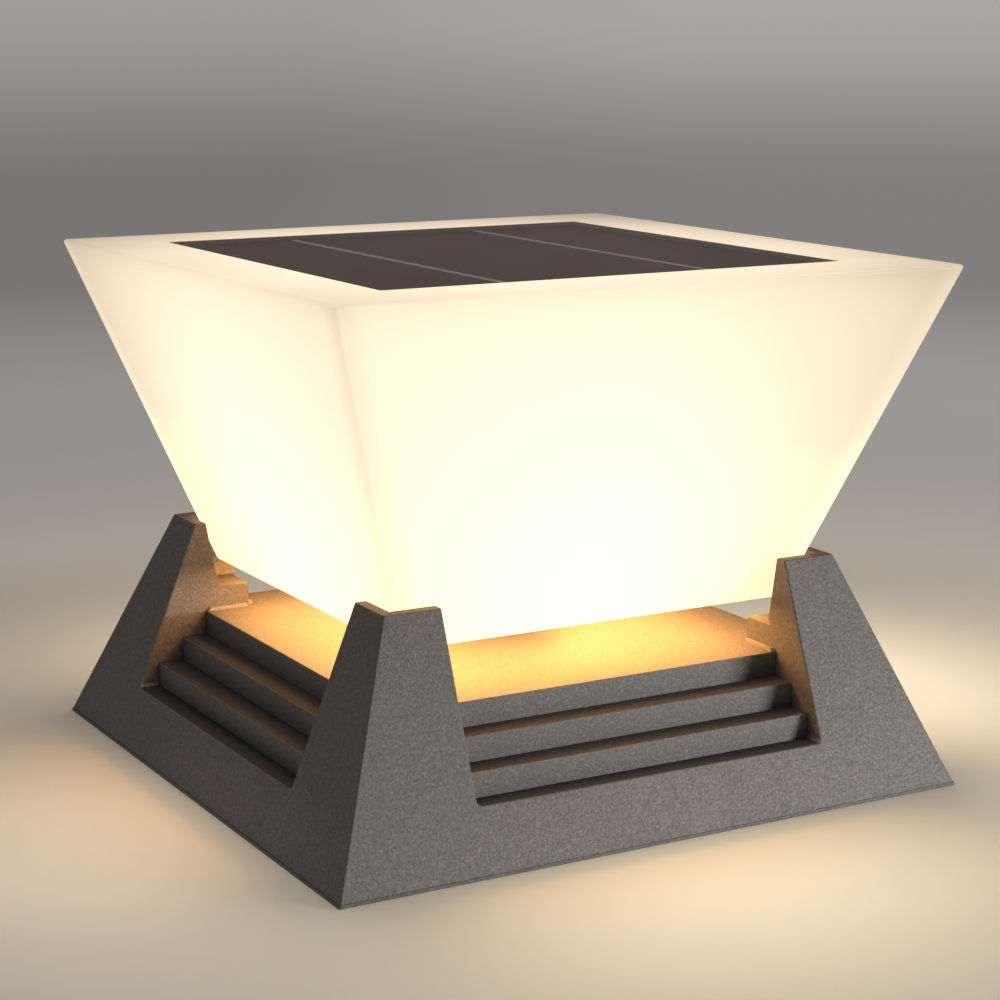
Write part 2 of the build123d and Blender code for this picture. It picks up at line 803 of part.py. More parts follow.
# Lamp
with BuildPart() as led_plate:
    with BuildSketch(Plane.XY.offset(led_plate_z)):
        Rectangle(2 * led_plate_half, 2 * led_plate_half)
        Circle(wire_bore_r, mode=Mode.SUBTRACT)
        with Locations(*at_corners(led_pitch)):
            Circle(led_screw[2] + shank_clear, mode=Mode.SUBTRACT)
    extrude(amount=led_plate_t)
finish(led_plate, "led_plate")

with BuildPart() as led_board:
    with BuildSketch(Plane.XY.offset(led_board_z)):
        Rectangle(2 * led_board_half, 2 * led_board_half)
        Circle(led_hole_r, mode=Mode.SUBTRACT)
        with Locations(*at_corners(led_pitch)):
            Circle(led_screw[0] + head_clear, mode=Mode.SUBTRACT)
    extrude(amount=board_t)
finish(led_board, "led_board")

with BuildPart() as led_chips:
    with BuildSketch(Plane.XY.offset(led_top_z)):
        with GridLocations(led_pitch, led_pitch, led_rows, led_rows):
            Rectangle(led_size, led_size)
    extrude(amount=led_h)
finish(led_chips, "led_chips")

with BuildPart() as led_socket:
    with BuildSketch(Plane.XY.offset(led_top_z)):
        with Locations((led_socket_x, 0)):
            Rectangle(led_socket_size[0], led_socket_size[1])
    extrude(amount=led_socket_size[2])
finish(led_socket, "led_socket")

with BuildPart() as led_screws:
    with Locations(*[(x, y, led_board_z) for x, y in at_corners(led_pitch)]):
        add(screw(led_screw, led_screw_l))
finish(led_screws, "led_screws")

# Top cover and solar panel
junction_hole = [size + 2 * junction_clear for size in junction_size[:2]]

with BuildPart() as top_cover:
    add(
        frustum(
            top_cover_z,
            shade_inner_half(top_cover_z) - top_cover_clear,
            shade_top_z,
            shade_inner_half(shade_top_z) - top_cover_clear,
        )
    )
    add(slab(panel_floor_z - well_wall, top_cover_z, recess_half + well_wall, recess_half + well_wall))
    add(slab(panel_floor_z, shade_top_z, recess_half, recess_half), mode=Mode.SUBTRACT)
    with BuildSketch(Plane.XY.offset(panel_floor_z)):
        Rectangle(*junction_hole)
    extrude(amount=-well_wall, mode=Mode.SUBTRACT)
finish(top_cover, "top_cover")

with BuildPart() as top_seal:
    seal_half = shade_inner_half(ledge_top_z) - top_cover_clear
    add(slab(ledge_top_z, top_cover_z, seal_half, seal_half))
    add(slab(ledge_top_z, top_cover_z, ledge_half, ledge_half), mode=Mode.SUBTRACT)
finish(top_seal, "top_seal")

with BuildPart() as panel_seal:
    with BuildSketch(Plane.XY.offset(panel_floor_z)):
        Rectangle(2 * recess_half, 2 * recess_half)
        Rectangle(2 * panel_half, 2 * panel_half, mode=Mode.SUBTRACT)
    extrude(amount=panel_t - panel_seal_drop)
finish(panel_seal, "panel_seal")

with BuildPart() as panel_tape:
    with BuildSketch(Plane.XY.offset(panel_floor_z)):
        Rectangle(2 * panel_half, 2 * panel_half)
        Rectangle(*junction_hole, mode=Mode.SUBTRACT)
    extrude(amount=tape_t)
finish(panel_tape, "panel_tape")

with BuildPart() as panel_backsheet:
    add(slab(backsheet_z, cell_z, panel_half, panel_half))
finish(panel_backsheet, "panel_backsheet")

with BuildPart() as solar_cells:
    with BuildSketch(Plane.XY.offset(cell_z)):
        Rectangle(2 * cell_half, 2 * cell_half)
        with Locations(*strip_lines):
            Rectangle(strip_gap, 2 * panel_half, mode=Mode.SUBTRACT)
    extrude(amount=cell_t)
finish(solar_cells, "solar_cells")

with BuildPart() as cell_ribbons:
    with BuildSketch(Plane.XY.offset(cell_z)):
        with Locations(*strip_lines):
            Rectangle(ribbon_w, 2 * cell_half)
    extrude(amount=cell_t)
finish(cell_ribbons, "cell_ribbons")

with BuildPart() as panel_glass:
    add(slab(glass_z, shade_top_z, panel_half, panel_half))
finish(panel_glass, "panel_glass")

with BuildPart() as junction_box:
    with BuildSketch(Plane.XY.offset(junction_z)):
        Rectangle(junction_size[0], junction_size[1])
    extrude(amount=junction_size[2])
finish(junction_box, "junction_box")

# Leads, all inside the lamp
with BuildPart() as panel_cable:
    add(
        lead(
            [
                (-lead_offset, 0, junction_z),
                (-lead_offset, 0, socket_mid_z),
                (-lead_offset, panel_socket_y, socket_mid_z),
                (board_right, panel_socket_y, socket_mid_z),
            ],
            panel_lead_r,
            lead_bend_r,
        )
    )
finish(panel_cable, "panel_cable")

with BuildPart() as led_cable:
    led_socket_top_z = led_top_z + led_socket_size[2]
    add(
        lead(
            [
                (led_socket_x, 0, led_socket_top_z),
                (led_socket_x, 0, led_socket_top_z + led_lead_rise),
                (lead_offset, 0, led_socket_top_z + led_lead_rise),
                (lead_offset, 0, socket_mid_z),
                (lead_offset, led_socket_y, socket_mid_z),
                (board_right, led_socket_y, socket_mid_z),
            ],
            led_lead_r,
            led_lead_bend_r,
        )
    )
finish(led_cable, "led_cable")

with BuildPart() as battery_cable:
    add(
        lead(
            [
                (battery_socket_x, holder_at[1] - holder_y, socket_mid_z),
                (battery_socket_x, board_back, socket_mid_z),
            ],
            battery_lead_r,
            lead_bend_r,
        )
    )
finish(battery_cable, "battery_cable")

with BuildPart() as switch_cable:
    lead_high_z = switch_top_z + switch_lead_rise
    lead_mid_x = (switch_at[0] + board_right) / 2
    add(
        lead(
            [
                (*switch_at, switch_top_z),
                (*switch_at, lead_high_z),
                (lead_mid_x, switch_at[1], lead_high_z),
                (board_right + switch_lead_bend_r, switch_at[1], socket_mid_z),
                (board_right, switch_at[1], socket_mid_z),
            ],
            switch_lead_r,
            [switch_lead_bend_r, switch_lead_bend_r, switch_lead_end_r],
        )
    )
finish(switch_cable, "switch_cable")
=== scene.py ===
"""Looks for the solar post light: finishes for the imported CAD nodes, a plain studio and the photo's view."""

import json
import math

import bpy
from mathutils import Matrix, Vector


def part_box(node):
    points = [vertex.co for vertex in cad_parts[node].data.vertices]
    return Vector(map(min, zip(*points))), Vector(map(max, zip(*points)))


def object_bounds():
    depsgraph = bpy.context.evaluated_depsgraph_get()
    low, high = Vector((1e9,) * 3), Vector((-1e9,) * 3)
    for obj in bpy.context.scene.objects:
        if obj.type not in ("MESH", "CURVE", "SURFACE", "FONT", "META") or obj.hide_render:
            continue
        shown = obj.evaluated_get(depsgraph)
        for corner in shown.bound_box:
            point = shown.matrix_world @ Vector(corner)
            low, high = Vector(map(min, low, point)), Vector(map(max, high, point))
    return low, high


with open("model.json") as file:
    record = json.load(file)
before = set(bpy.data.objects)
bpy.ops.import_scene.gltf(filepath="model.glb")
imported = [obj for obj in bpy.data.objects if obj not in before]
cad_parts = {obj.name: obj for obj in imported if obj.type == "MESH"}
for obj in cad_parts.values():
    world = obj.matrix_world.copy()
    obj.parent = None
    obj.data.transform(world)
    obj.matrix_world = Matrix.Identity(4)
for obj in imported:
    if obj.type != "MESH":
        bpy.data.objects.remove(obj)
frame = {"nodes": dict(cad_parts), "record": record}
nodes = frame["nodes"]
cad_low, cad_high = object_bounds()

MM = 0.001
TOUCH = 0.01 * MM

# Camera that was fitted to the straight edges in the photo
CAMERA_AT = Vector((-0.5142, -0.9181, 0.3357))
CAMERA_LOOK = Vector((0.48178, 0.85222, -0.20402))
CAMERA_LENS_MM = 85.22

# Shade: heights, half widths and the slope of its faces, from the frame
shade_low, shade_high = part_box("shade")
SHADE_H = shade_high.z - shade_low.z
shade_foot = [v.co for v in nodes["shade"].data.vertices if v.co.z < shade_low.z + TOUCH]
SHADE_LOW_HALF = max(abs(co.x) for co in shade_foot)
SHADE_TOP_HALF = shade_high.x
SHADE_SLOPE = (SHADE_TOP_HALF - SHADE_LOW_HALF) / SHADE_H

# Panel, deck, the beads along the deck and the pedestal's flange, from the frame
panel_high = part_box("panel_glass")[1]
deck_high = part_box("stepped_cover")[1]
bead_tops = [v.co for v in nodes["stepped_cover"].data.vertices if v.co.z > deck_high.z - TOUCH]
BEAD_IN = min(min(abs(co.x), abs(co.y)) for co in bead_tops)
BEAD_MIDDLE = BEAD_IN + 1.0 * MM
BEAD_REACH = 1.1 * MM
BEAD_H = 1.3 * MM
FLANGE_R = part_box("pedestal")[1].x

# Noise: the part of its range that is used, and the detail of fine grain
NOISE_SPAN = (0.3, 0.7)
FINE_DETAIL = 3.0

# Powder coat: grain, tones, flecks, and the painted highlight along the beads
COAT_GRAIN = 1.1 * MM
COAT_GRAIN_ROUGH = 0.65
COAT_RELIEF = 0.35 * MM
COAT_PATCH = 40 * MM
COAT_PATCH_VARY = 0.08
COAT_DARK = (0.113, 0.113, 0.113)
COAT_PALE = (0.16, 0.159, 0.158)
COAT_METAL = 0.45
COAT_GLOSS = 0.1
COAT_ROUGH = (0.66, 0.52)
FLECK_SIZE = 0.9 * MM
FLECK_SPAN = (0.75, 1.0)
FLECK_TONE = (0.178, 0.178, 0.175)
BEAD_HIGHLIGHT_TONE = (0.27, 0.27, 0.267)

# Painted shade on the treads: how dark at the front and on the left, its tone, and where it lies
PAINTED_TREAD_SHADE = (0.72, 0.86)
PAINTED_SHADE_TONE = (0.012, 0.018, 0.026)
PAINTED_SHADE_LEFT = (0.6 * cad_low.x, 0.7 * cad_low.x)
PAINTED_SHADE_HEIGHT = (deck_high.z - 4 * MM, deck_high.z - 6 * MM)
PAINTED_SHADE_FACING = (0.75, 0.97)

# Frosted shade: its own finish, and the way a surface faces on the top and on the underside
SHADE_TONE = (0.2, 0.18, 0.13)
SHADE_ROUGH = 0.5
SHADE_GLOSS = 0.25
SHADE_GRAIN = 0.5 * MM
SHADE_RELIEF = 0.02 * MM
TOP_FACING = (0.3, 0.9)
UNDER_FACING = (-0.9, -0.99)

# Glow of the shade: red, green and blue for a glow of 1, and the rise over which the low tint ends
GLOW_TINT = (1.64, 1.34, 1.0)
LOW_TINT = (3.6, 2.0, 1.04)
LOW_TINT_RISE = (0.12, 0.5)
UNDER_TINT = (12.4, 5.5, 1.5)
UNDER_GLOW = (1.3, 1.0)
UNDER_SPREAD = 45 * MM

# Glow of the faces: up the middle, its fall to the sides, its lean to the left front and its corner edges
FACE_GLOW = [(0, 0.775), (0.3, 0.75), (0.5, 0.69), (0.7, 0.62), (0.9, 0.54), (0.97, 0.48), (1, 0.43)]
FACE_FALL = (0.25, 0.15)
FACE_FALL_RISE = (0.2, 0.95)
FACE_FALL_POWER = 1.6
FACE_LEAN = -0.13 / SHADE_TOP_HALF
FACE_LEAN_ALONG = 0.7
FACE_LEAN_LEAST = -0.03
EDGE_BAND = 14 * MM
EDGE_PALE = (0.16, 0.06)
EDGE_PALE_RISE = (0.2, 0.8)
EDGE_DIM = 0.07
EDGE_TURN = (0.1, 0.9)

# Glow of the top: from the panel to the rim, less in the corners and to the back
RING_GLOW = (0.59, 0.485)
RING_CORNER = 0.15
RING_CORNER_FROM = 0.4 * SHADE_TOP_HALF
RING_LEAN = (-0.35, -0.62)

# Solar panel: silicon, its finger lines, and the glass over it
CELL_ROUGH = 0.25
CELL_PATCH = 18 * MM
CELL_DARK = (0.305, 0.218, 0.193)
CELL_PALE = (0.335, 0.238, 0.211)
FINGER_GAP = 1.0 * MM
FINGER_HALF = 0.12 * MM
FINGER_TONE = (0.1, 0.1, 0.1)
FINGER_SHARE = 0.35
GLASS_TONE = (0.03, 0.027, 0.026)
GLASS_TINT = (1.0, 0.92, 0.88)
GLASS_ALPHA = 0.15
GLASS_GLOSS = 0.15
GLASS_PATCH = 30 * MM
GLASS_ROUGH = (0.16, 0.22)

# Moulded, cast and coated finishes
PLAIN_PATCH = 25 * MM
PLAIN_ROUGH_VARY = 0.06
PLAIN_LOOKS = {
    "silver_ribbon": dict(colour=(0.88, 0.81, 0.79), roughness=0.5, metallic=0.2),
    "backsheet": dict(colour=(0.03, 0.03, 0.033), roughness=0.45),
    "tape": dict(colour=(0.06, 0.06, 0.06), roughness=0.8, grain=2 * MM, depth=0.1 * MM),
    "seal": dict(colour=(0.11, 0.095, 0.088), roughness=0.7, grain=1.2 * MM, depth=0.05 * MM),
    # pale_coat: painted light on the pedestal, so that its shaded flange reads as bright as the lit deck
    "pale_coat": dict(colour=(0.72, 0.69, 0.63), roughness=0.55, grain=1.1 * MM, depth=0.1 * MM),
    "clear_seal": dict(colour=(0.8, 0.78, 0.72), roughness=0.4),
    "black_plastic": dict(colour=(0.028, 0.028, 0.03), roughness=0.55, grain=0.6 * MM, depth=0.05 * MM),
    "button_red": dict(colour=(0.42, 0.025, 0.025), roughness=0.35),
    "board_green": dict(colour=(0.02, 0.13, 0.06), roughness=0.4),
    "board_parts": dict(colour=(0.04, 0.04, 0.045), roughness=0.45),
    "socket_white": dict(colour=(0.75, 0.74, 0.69), roughness=0.45),
    "battery_wrap": dict(colour=(0.04, 0.18, 0.38), roughness=0.3),
    "board_white": dict(colour=(0.78, 0.78, 0.76), roughness=0.4),
    "lead_sheath": dict(colour=(0.03, 0.03, 0.03), roughness=0.5),
}

# Drawn and plated metals
METAL_PATCH = 12 * MM
METAL_DARK = 0.82
STREAK_STRETCH = (60.0, 2500.0, 2500.0)
STREAK_DETAIL = 4.0
STREAK_ROUGH = 0.6
STREAK_RELIEF = 0.02 * MM
METAL_ROUGH_VARY = (0.1, -0.06)
METAL_LOOKS = {
    "zinc_steel": dict(colour=(0.6, 0.61, 0.62), roughness=0.38),
    "stainless": dict(colour=(0.56, 0.56, 0.57), roughness=0.3),
    "nickel": dict(colour=(0.64, 0.62, 0.58), roughness=0.28),
    "bare_aluminium": dict(colour=(0.72, 0.72, 0.72), roughness=0.4),
}

# Small pieces that glow: a painted glow on the seal round the panel, which fills in the shade along its edge,
# and the lamp chips
LIT_LOOKS = {
    "lit_seal": dict(
        colour=(0.2, 0.17, 0.15),
        roughness=0.7,
        glow=(1.0, 0.84, 0.77),
        grain=1.2 * MM,
        strength=(0.05, 0.06),
    ),
    "led_phosphor": dict(
        colour=(0.9, 0.7, 0.2),
        roughness=0.4,
        glow=(1.0, 0.8, 0.5),
        grain=0.6 * MM,
        strength=(2.0, 3.0),
    ),
}

# Two pieces with a finish of their own, both painted light: a glow on the panel's seal that fills in its
# shade, and a pale coat on the pedestal so that it doesn't show dark in its shade under the lamp
OWN_FINISH = {"panel_seal": "lit_seal", "pedestal": "pale_coat"}

# Studio: a round floor that curves up into a wall, with an opening below the foot to see its underside
HOLE_HALF = cad_high.x - 1.0 * MM
FLOOR_RINGS = (0.6, 1.4, 2.4, 3.6)
FLOOR_R = FLOOR_RINGS[-1]
BEND_R = 1.6
WALL_H = 4.0
BEND_STEPS = 12
TURN_STEPS = 96

# Tones of the studio: spans in metres, then the values at their two ends
FLOOR_TONE = (0.645, 0.64, 0.585)
FLOOR_ROUGH = 0.9
FLOOR_FADE = (0.45, 1.6)
WALL_RISE = (-0.1, 0.35, 0.16, 0.36)
WALL_FALL = (0.45, 1.1, 0.0, 0.2)
HAZE_START = (0.32, 0.52, 0.0, 0.12)
HAZE_END = (1.0, 2.0, 0.0, 0.12)
HAZE_NEAR = (1.0, 0.88, 0.86)
HAZE_FAR = (1.0, 0.985, 0.955)
HAZE_TURN = (0.5, 1.0)
STUDIO_LEAN_ALONG = -0.56
STUDIO_LEAN = (-0.46, 0.46, 0.93, 1.09)
UNSEEN_SHARE = 0.45
BLACK = (0.0, 0.0, 0.0)
AIR_TONE = (0.08, 0.08, 0.08, 1.0)

# Lights: place, direction, width and height, power and colour
LIGHTS = {
    "key": ((1.3, -1.52, 0.105), (-1.3, 1.52, 0.0), (0.6, 0.17), 32.4, (1.0, 0.93, 0.88)),
    "fill": ((-2.2, 0.3, 0.3), (1.0, -0.14, -0.08), (1.2, 0.5), 3.0, (1.0, 0.97, 0.97)),
    "overhead": ((0.0, 0.0, 2.2), (0, 0, -1), (1.6, 1.6), 11.0, (1.0, 0.97, 0.93)),
    "under": ((0.0, 0.0, -1.2), (0, 0, 1), (1.2, 1.2), 12.0, (1.0, 0.97, 0.93)),
}

# The lamp's throw on the floor past each side of the foot: side, shift along Y, power and colour
THROW_OUT = cad_high.x + 15 * MM
THROW_UP = 130 * MM
THROW_TILT = -0.32
THROW_SIZE = (0.2, 0.04)
THROWS = {
    "front": ((0, -1), 0.0, 0.27, (1.0, 0.92, 0.68)),
    "back": ((0, 1), 0.0, 0.235, (1.0, 0.85, 0.63)),
    "left": ((-1, 0), -50 * MM, 0.16, (1.0, 0.94, 0.78)),
    "right": ((1, 0), 0.0, 0.4, (1.0, 0.86, 0.64)),
}


class Surface:
    """A Principled material and short calls that add nodes to it."""

    def __init__(self, name, **sockets):
        self.material = bpy.data.materials.new(name)
        self.material.use_nodes = True
        self.tree = self.material.node_tree
        self.shader = self.tree.nodes["Principled BSDF"]
        for socket, value in sockets.items():
            self.feed(self.shader, socket.replace("_", " ").title().replace("Ior", "IOR"), value)

    def feed(self, node, socket, value):
        """Link an output to a socket, or set the socket to a plain value."""
        if isinstance(value, bpy.types.NodeSocket):
            self.tree.links.new(value, node.inputs[socket])
        elif isinstance(value, tuple) and len(value) == 3 and node.inputs[socket].type == "RGBA":
            node.inputs[socket].default_value = (*value, 1.0)
        else:
            node.inputs[socket].default_value = value

    def add(self, kind, output, inputs=None, **settings):
        """Add a node, set it up and return one of its outputs."""
        node = self.tree.nodes.new(kind)
        for name, value in settings.items():
            setattr(node, name, value)
        for socket, value in (inputs or {}).items():
            self.feed(node, socket, value)
        return node.outputs[output]

    def math(self, operation, *values, clamp=False):
        """A Math node on numbers or outputs."""
        return self.add("ShaderNodeMath", 0, dict(enumerate(values)), operation=operation, use_clamp=clamp)

    def ramp(self, value, low, high, to_low=0.0, to_high=1.0, smooth=False):
        """Map a value from one range to another, held at the ends."""
        spans = {"From Min": low, "From Max": high, "To Min": to_low, "To Max": to_high}
        kind = "SMOOTHSTEP" if smooth else "LINEAR"
        return self.add("ShaderNodeMapRange", "Result", {"Value": value, **spans}, interpolation_type=kind)

    def spread(self, noise, to_low=0.0, to_high=1.0):
        """Map the part of a noise's range that is used to another range."""
        return self.ramp(noise, *NOISE_SPAN, to_low, to_high)

    def curve(self, value, points):
        """A smooth curve from 0 to 1 through points."""
        node = self.tree.nodes.new("ShaderNodeFloatCurve")
        line = node.mapping.curves[0]
        line.points[0].location, line.points[1].location = points[0], points[-1]
        for x, y in points[1:-1]:
            line.points.new(x, y)
        node.mapping.update()
        self.feed(node, "Value", value)
        return node.outputs["Value"]

    def blend(self, factor, low, high):
        """A colour between two colours."""
        node = self.tree.nodes.new("ShaderNodeMix")
        node.data_type = "RGBA"
        for socket, value in ((0, factor), (6, low), (7, high)):
            self.feed(node, socket, value)
        return node.outputs[2]

    def place(self):
        """The point on the object, in metres in the shared frame."""
        return self.add("ShaderNodeTexCoord", "Object")

    def axes(self):
        """The point's X, Y and Z, in metres in the shared frame."""
        return self.add("ShaderNodeSeparateXYZ", 0, {"Vector": self.place()}).node.outputs

    def facing_up(self):
        """How far the surface faces up, from -1 to 1."""
        normal = self.add("ShaderNodeNewGeometry", "Normal")
        return self.add("ShaderNodeSeparateXYZ", 2, {"Vector": normal})

    def stretched(self, scale):
        """The point on the object, stretched per axis."""
        return self.add("ShaderNodeMapping", "Vector", {"Vector": self.place(), "Scale": scale})

    def noise(self, size, detail=2.0, rough=0.5, at=None):
        """Noise with features of about a size in metres, from 0 to 1."""
        inputs = {"Vector": at or self.place(), "Scale": 1 / size, "Detail": detail, "Roughness": rough}
        return self.add("ShaderNodeTexNoise", 0, inputs)

    def bump(self, height, depth, strength=1.0):
        """Fine relief of a depth in metres."""
        inputs = {"Height": height, "Distance": depth, "Strength": strength}
        self.feed(self.shader, "Normal", self.add("ShaderNodeBump", "Normal", inputs))


def powder_coat():
    """Dark grey sand-textured powder coat with pale flecks, a painted highlight along the beads and painted
    shade on the treads.
    """
    made = Surface("powder_coat", specular_ior_level=COAT_GLOSS)
    across, along, height = made.axes()
    grain = made.noise(COAT_GRAIN, FINE_DETAIL, COAT_GRAIN_ROUGH)
    patch = made.spread(made.noise(COAT_PATCH), -COAT_PATCH_VARY, COAT_PATCH_VARY)
    coat = made.blend(made.math("ADD", made.spread(grain), patch), COAT_DARK, COAT_PALE)
    spots = made.add("ShaderNodeTexVoronoi", "Color", {"Vector": made.place(), "Scale": 1 / FLECK_SIZE})
    fleck = made.ramp(made.add("ShaderNodeSeparateColor", 0, {"Color": spots}), *FLECK_SPAN)
    coat = made.blend(fleck, coat, FLECK_TONE)

    # Painted highlight along the beads on the deck, where their tops would catch the lamp's light
    beside = made.math("MINIMUM", made.math("ABSOLUTE", across), made.math("ABSOLUTE", along))
    bead_highlight = made.math("COMPARE", beside, BEAD_MIDDLE, BEAD_REACH)
    bead_highlight = made.math("MULTIPLY", bead_highlight, made.math("GREATER_THAN", height, deck_high.z - BEAD_H))
    coat = made.blend(bead_highlight, coat, BEAD_HIGHLIGHT_TONE)

    # Painted shade on the treads below the deck, darker on the left side, which lies in the body's shadow; the
    # metal and the gloss are taken off where it lies
    shade_depth = made.ramp(across, *PAINTED_SHADE_LEFT, *PAINTED_TREAD_SHADE)
    shade_on_tops = made.ramp(made.facing_up(), *PAINTED_SHADE_FACING, 0.0, shade_depth)
    painted_shade = made.math("MULTIPLY", made.ramp(height, *PAINTED_SHADE_HEIGHT), shade_on_tops)
    made.feed(made.shader, "Base Color", made.blend(painted_shade, coat, PAINTED_SHADE_TONE))
    made.feed(made.shader, "Metallic", made.ramp(painted_shade, 0.0, PAINTED_TREAD_SHADE[0], COAT_METAL, 0.0))
    made.feed(made.shader, "Roughness", made.math("MAXIMUM", painted_shade, made.spread(grain, *COAT_ROUGH)))
    made.bump(grain, COAT_RELIEF, 0.5)
    return made.material


def frosted():
    """Frosted plastic lit from inside: brightest low in the middle of each face, dimmer at the edges."""
    made = Surface(
        "frosted_shade", base_color=SHADE_TONE, roughness=SHADE_ROUGH, specular_ior_level=SHADE_GLOSS
    )
    across, along, height = made.axes()
    facing = made.facing_up()
    rise = made.ramp(height, shade_low.z, shade_high.z)
    above = made.math("SUBTRACT", height, shade_low.z)
    half = made.math("MULTIPLY_ADD", above, SHADE_SLOPE, SHADE_LOW_HALF)
    off_x = made.math("ABSOLUTE", across)
    off_y = made.math("ABSOLUTE", along)
    inward = made.math("MINIMUM", off_x, off_y)
    outward = made.math("MAXIMUM", off_x, off_y)

    # Faces: a bright middle, a fall to the sides, a change of tone along the corner edges and a lean
    middle = made.curve(rise, FACE_GLOW)
    share = made.math("POWER", made.math("DIVIDE", inward, half), FACE_FALL_POWER)
    fall = made.math("MULTIPLY", share, made.ramp(rise, *FACE_FALL_RISE, *FACE_FALL))
    corner = made.math("ABSOLUTE", made.math("ADD", across, along))
    corner = made.math("DIVIDE", corner, made.math("MULTIPLY", half, 2.0))
    near = made.ramp(made.math("SUBTRACT", half, inward), 0.0, EDGE_BAND, 1.0, 0.0, smooth=True)
    pale = made.ramp(rise, *EDGE_PALE_RISE, *EDGE_PALE)
    edge = made.math("MULTIPLY", near, made.ramp(corner, *EDGE_TURN, pale, -EDGE_DIM))
    lean = made.math("MULTIPLY", made.math("MULTIPLY_ADD", along, FACE_LEAN_ALONG, across), FACE_LEAN)
    lean = made.math("MAXIMUM", lean, FACE_LEAN_LEAST)
    side = made.math("ADD", made.math("SUBTRACT", middle, fall), edge)
    side = made.math("ADD", side, lean)

    # Top: bright beside the panel, dimmer to the rim, the corners and the back
    ring = made.ramp(outward, panel_high.x, SHADE_TOP_HALF, *RING_GLOW)
    dimmed = made.ramp(inward, RING_CORNER_FROM, SHADE_TOP_HALF, 0.0, RING_CORNER)
    ring = made.math("SUBTRACT", ring, dimmed)
    ring_lean = made.math("MULTIPLY_ADD", across, RING_LEAN[0], made.math("MULTIPLY", along, RING_LEAN[1]))
    ring = made.math("ADD", ring, ring_lean)
    top = made.ramp(facing, *TOP_FACING)
    face = made.math("MULTIPLY_ADD", made.math("SUBTRACT", ring, side), top, side)

    # Underside: orange, strongest round the pedestal
    under = made.ramp(facing, *UNDER_FACING)
    below = made.ramp(outward, FLANGE_R, FLANGE_R + UNDER_SPREAD, *UNDER_GLOW, smooth=True)
    tint = made.blend(made.ramp(rise, *LOW_TINT_RISE), LOW_TINT, GLOW_TINT)
    glow = made.math("MAXIMUM", face, made.math("MULTIPLY", under, below))
    made.feed(made.shader, "Emission Color", made.blend(under, tint, UNDER_TINT))
    made.feed(made.shader, "Emission Strength", glow)
    made.bump(made.noise(SHADE_GRAIN), SHADE_RELIEF, 0.4)
    return made.material


def plain(name, colour, roughness, grain=0.8 * MM, depth=0.03 * MM, metallic=0.0, vary=0.12):
    """A moulded, cast or coated surface with fine grain and a slight change of tone."""
    made = Surface(name, metallic=metallic)
    fine = made.noise(grain, FINE_DETAIL)
    patch = made.spread(made.noise(PLAIN_PATCH), -vary, vary)
    tone = made.math("ADD", made.spread(fine, -vary, vary), patch)
    dark = tuple(c * (1 - vary) for c in colour)
    pale = tuple(min(1.0, c * (1 + vary)) for c in colour)
    made.feed(made.shader, "Base Color", made.blend(made.math("ADD", tone, 0.5, clamp=True), dark, pale))
    rough = made.spread(fine, roughness + PLAIN_ROUGH_VARY, roughness - PLAIN_ROUGH_VARY)
    made.feed(made.shader, "Roughness", rough)
    made.bump(fine, depth, 0.5)
    return made.material


def brushed(name, colour, roughness):
    """Drawn or plated metal with fine streaks along X."""
    made = Surface(name, metallic=1.0)
    streak = made.noise(1.0, STREAK_DETAIL, STREAK_ROUGH, at=made.stretched(STREAK_STRETCH))
    patch = made.noise(METAL_PATCH)
    dark = tuple(c * METAL_DARK for c in colour)
    made.feed(made.shader, "Base Color", made.blend(made.spread(patch), dark, colour))
    rough = made.spread(streak, roughness + METAL_ROUGH_VARY[0], roughness + METAL_ROUGH_VARY[1])
    made.feed(made.shader, "Roughness", rough)
    made.bump(streak, STREAK_RELIEF, 0.3)
    return made.material


def lit(name, colour, roughness, glow, grain, strength):
    """A small piece that glows, with a slight grain in its glow."""
    made = Surface(name, base_color=colour, roughness=roughness, emission_color=glow)
    made.feed(made.shader, "Emission Strength", made.spread(made.noise(grain), *strength))
    return made.material


def solar_cell():
    """Dark silicon with faint finger lines across each strip, and no gloss of its own behind the glass."""
    made = Surface("solar_cell", roughness=CELL_ROUGH, specular_ior_level=0.0)
    along = made.axes()[1]
    finger = made.ramp(made.math("PINGPONG", along, FINGER_GAP), 0.0, FINGER_HALF, 1.0, 0.0)
    finger = made.math("MULTIPLY", finger, FINGER_SHARE)
    silicon = made.blend(made.noise(CELL_PATCH, FINE_DETAIL), CELL_DARK, CELL_PALE)
    made.feed(made.shader, "Base Color", made.blend(finger, silicon, FINGER_TONE))
    return made.material


def cover_glass():
    """Clear flat glass: mostly see-through, with the gloss of its surface."""
    made = Surface(
        "panel_glass",
        base_color=GLASS_TONE,
        alpha=GLASS_ALPHA,
        specular_ior_level=GLASS_GLOSS,
        specular_tint=GLASS_TINT,
    )
    made.feed(made.shader, "Roughness", made.spread(made.noise(GLASS_PATCH), *GLASS_ROUGH))
    return made.material


def studio_floor():
    """A floor and wall in one, turned about the object's centre."""
    profile = [(r, 0.0) for r in FLOOR_RINGS]
    for i in range(1, BEND_STEPS + 1):
        angle = math.pi / 2 * i / BEND_STEPS
        profile.append((FLOOR_R + BEND_R * math.sin(angle), BEND_R * (1 - math.cos(angle))))
    profile.append((FLOOR_R + BEND_R, WALL_H))
    points, faces = [], []
    for turn in range(TURN_STEPS):
        angle = 2 * math.pi * turn / TURN_STEPS
        hole = HOLE_HALF / max(abs(math.cos(angle)), abs(math.sin(angle)))
        points += [(r * math.cos(angle), r * math.sin(angle), z) for r, z in [(hole, 0.0), *profile]]
    rows = len(profile) + 1
    for turn in range(TURN_STEPS):
        here, there = turn * rows, (turn + 1) % TURN_STEPS * rows
        faces += [(here + i + 1, there + i + 1, there + i, here + i) for i in range(rows - 1)]
    mesh = bpy.data.meshes.new("studio_floor")
    mesh.from_pydata(points, [], faces)
    mesh.validate()
    mesh.polygons.foreach_set("use_smooth", [True] * len(mesh.polygons))
    floor = bpy.data.objects.new("studio_floor", mesh)
    bpy.context.scene.collection.objects.link(floor)
    return floor


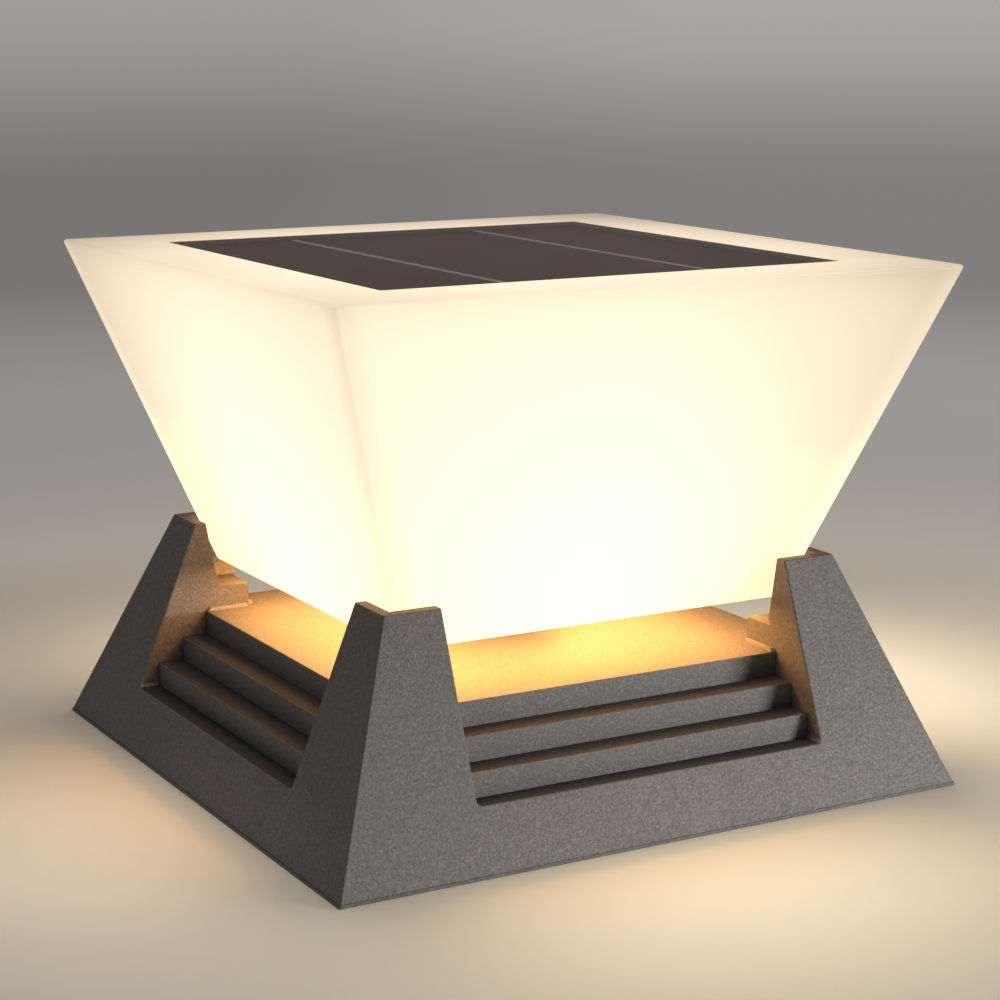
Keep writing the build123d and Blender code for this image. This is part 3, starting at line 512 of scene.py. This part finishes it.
def studio_finish():
    """Pale matt floor that turns into a grey backdrop away from the object."""
    made = Surface("studio", roughness=FLOOR_ROUGH)
    across, along, height = made.axes()
    away = made.add("ShaderNodeVectorMath", "Value", {0: made.place()}, operation="LENGTH")
    far = made.ramp(away, *FLOOR_FADE, smooth=True)
    made.feed(made.shader, "Base Color", made.blend(far, FLOOR_TONE, BLACK))

    # Glow of the backdrop, with a haze round the object and a lean from side to side
    tone = made.ramp(height, *WALL_RISE, smooth=True)
    tone = made.math("SUBTRACT", tone, made.ramp(height, *WALL_FALL, smooth=True))
    haze = made.ramp(away, *HAZE_START, smooth=True)
    haze = made.math("SUBTRACT", haze, made.ramp(away, *HAZE_END, smooth=True))
    tone = made.math("MULTIPLY_ADD", tone, far, haze)
    lean = made.math("MULTIPLY_ADD", along, STUDIO_LEAN_ALONG, across)
    tone = made.math("MULTIPLY", tone, made.ramp(lean, *STUDIO_LEAN))
    made.feed(made.shader, "Emission Color", made.blend(made.ramp(away, *HAZE_TURN), HAZE_NEAR, HAZE_FAR))

    # Weaker as a light than as it is seen
    path = made.add("ShaderNodeLightPath", "Is Camera Ray").node
    seen = made.math("MAXIMUM", path.outputs["Is Camera Ray"], path.outputs["Is Glossy Ray"])
    seen = made.math("MAXIMUM", seen, path.outputs["Is Transmission Ray"])
    glow = made.math("MULTIPLY", tone, made.ramp(seen, 0.0, 1.0, UNSEEN_SHARE, 1.0))
    made.feed(made.shader, "Emission Strength", glow)
    return made.material


def area_light(name, at, look, size, power, colour):
    """A soft light of a width and height that faces along a direction and isn't seen itself."""
    data = bpy.data.lights.new(name, "AREA")
    data.shape = "RECTANGLE"
    data.size, data.size_y = size
    data.energy = power
    data.color = colour
    light = bpy.data.objects.new(name, data)
    light.location = at
    light.rotation_euler = Vector(look).to_track_quat("-Z", "Y").to_euler()
    light.visible_camera = False
    bpy.context.scene.collection.objects.link(light)


finishes = {
    "powder_coat": powder_coat(),
    "frosted_shade": frosted(),
    "panel_glass": cover_glass(),
    "solar_cell": solar_cell(),
}
for make, looks in ((plain, PLAIN_LOOKS), (brushed, METAL_LOOKS), (lit, LIT_LOOKS)):
    finishes.update({name: make(name, **look) for name, look in looks.items()})
for subpart in frame["record"]["subparts"]:
    shown = nodes[subpart["node"]]
    shown.data.materials.clear()
    shown.data.materials.append(finishes[OWN_FINISH.get(subpart["node"], subpart["material_slot"])])

studio_floor().data.materials.append(studio_finish())
world = bpy.data.worlds.new("studio_air")
world.use_nodes = True
world.node_tree.nodes["Background"].inputs["Color"].default_value = AIR_TONE
bpy.context.scene.world = world

for name, setting in LIGHTS.items():
    area_light(name, *setting)
for side, ((x, y), shift, power, colour) in THROWS.items():
    at = Vector((x * THROW_OUT, y * THROW_OUT + shift, THROW_UP))
    area_light(f"throw_{side}", at, (x, y, THROW_TILT), THROW_SIZE, power, colour)

camera = bpy.data.objects.new("camera", bpy.data.cameras.new("camera"))
camera.data.lens = CAMERA_LENS_MM
camera.location = CAMERA_AT
camera.rotation_euler = CAMERA_LOOK.to_track_quat("-Z", "Y").to_euler()
bpy.context.scene.collection.objects.link(camera)
bpy.context.scene.camera = camera
bpy.context.scene.view_settings.view_transform = "Standard"
